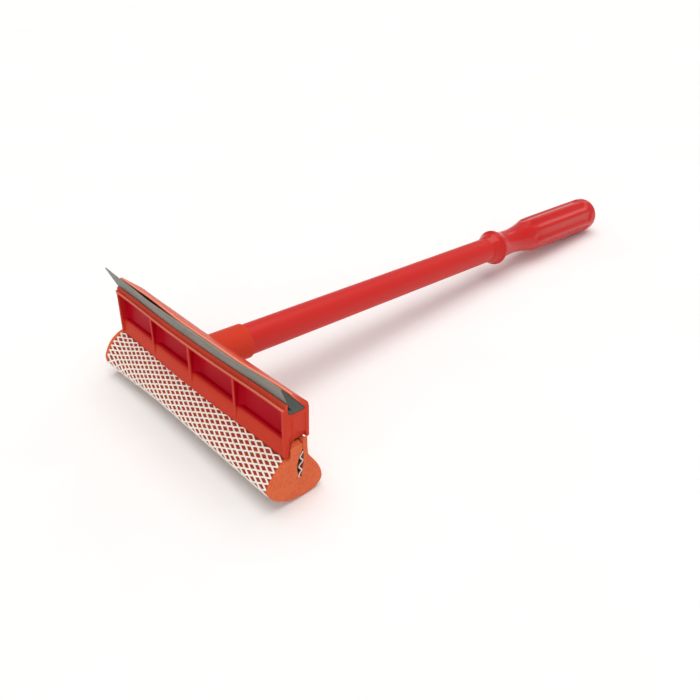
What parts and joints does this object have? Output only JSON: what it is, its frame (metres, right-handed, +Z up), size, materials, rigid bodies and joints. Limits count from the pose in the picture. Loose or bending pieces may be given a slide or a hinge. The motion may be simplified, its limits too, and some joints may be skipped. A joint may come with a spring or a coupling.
{
  "type": "window squeegee with sponge",
  "caption": "Hand squeegee: moulded head with a leaning rubber blade above and a netted mushroom sponge below, on a round tube handle with a fluted grip.",
  "frame": {"origin": "centre of the sponge's flat working face, on the outside of the net", "axes": "+X along the head, +Y along the handle away from the head, +Z up to the blade"},
  "size_m": [0.213, 0.5084, 0.0798],
  "materials": {
    "head_plastic": "red moulded plastic, satin",
    "blade_rubber": "grey rubber, matt",
    "sponge_foam": "orange fine-celled foam",
    "galvanised_steel": "galvanised corrugated strip",
    "net_cord": "cream knitted diamond netting",
    "tube_coating": "smooth red coating",
    "grip_plastic": "glossy red moulded plastic"
  },
  "bodies": {
    "tool": {"head_frame": "head_plastic", "sponge": "sponge_foam", "sponge_spine": "galvanised_steel", "sponge_net": "net_cord", "handle_tube": "tube_coating", "grip": "grip_plastic"},
    "blade": {"blade_rubber": "blade_rubber"}
  },
  "joints": [
    {"name": "blade_slide", "type": "slide", "parent": "tool", "child": "blade", "axis": [1, 0, 0], "range_m": [-0.205, 0.0085]}
  ]
}
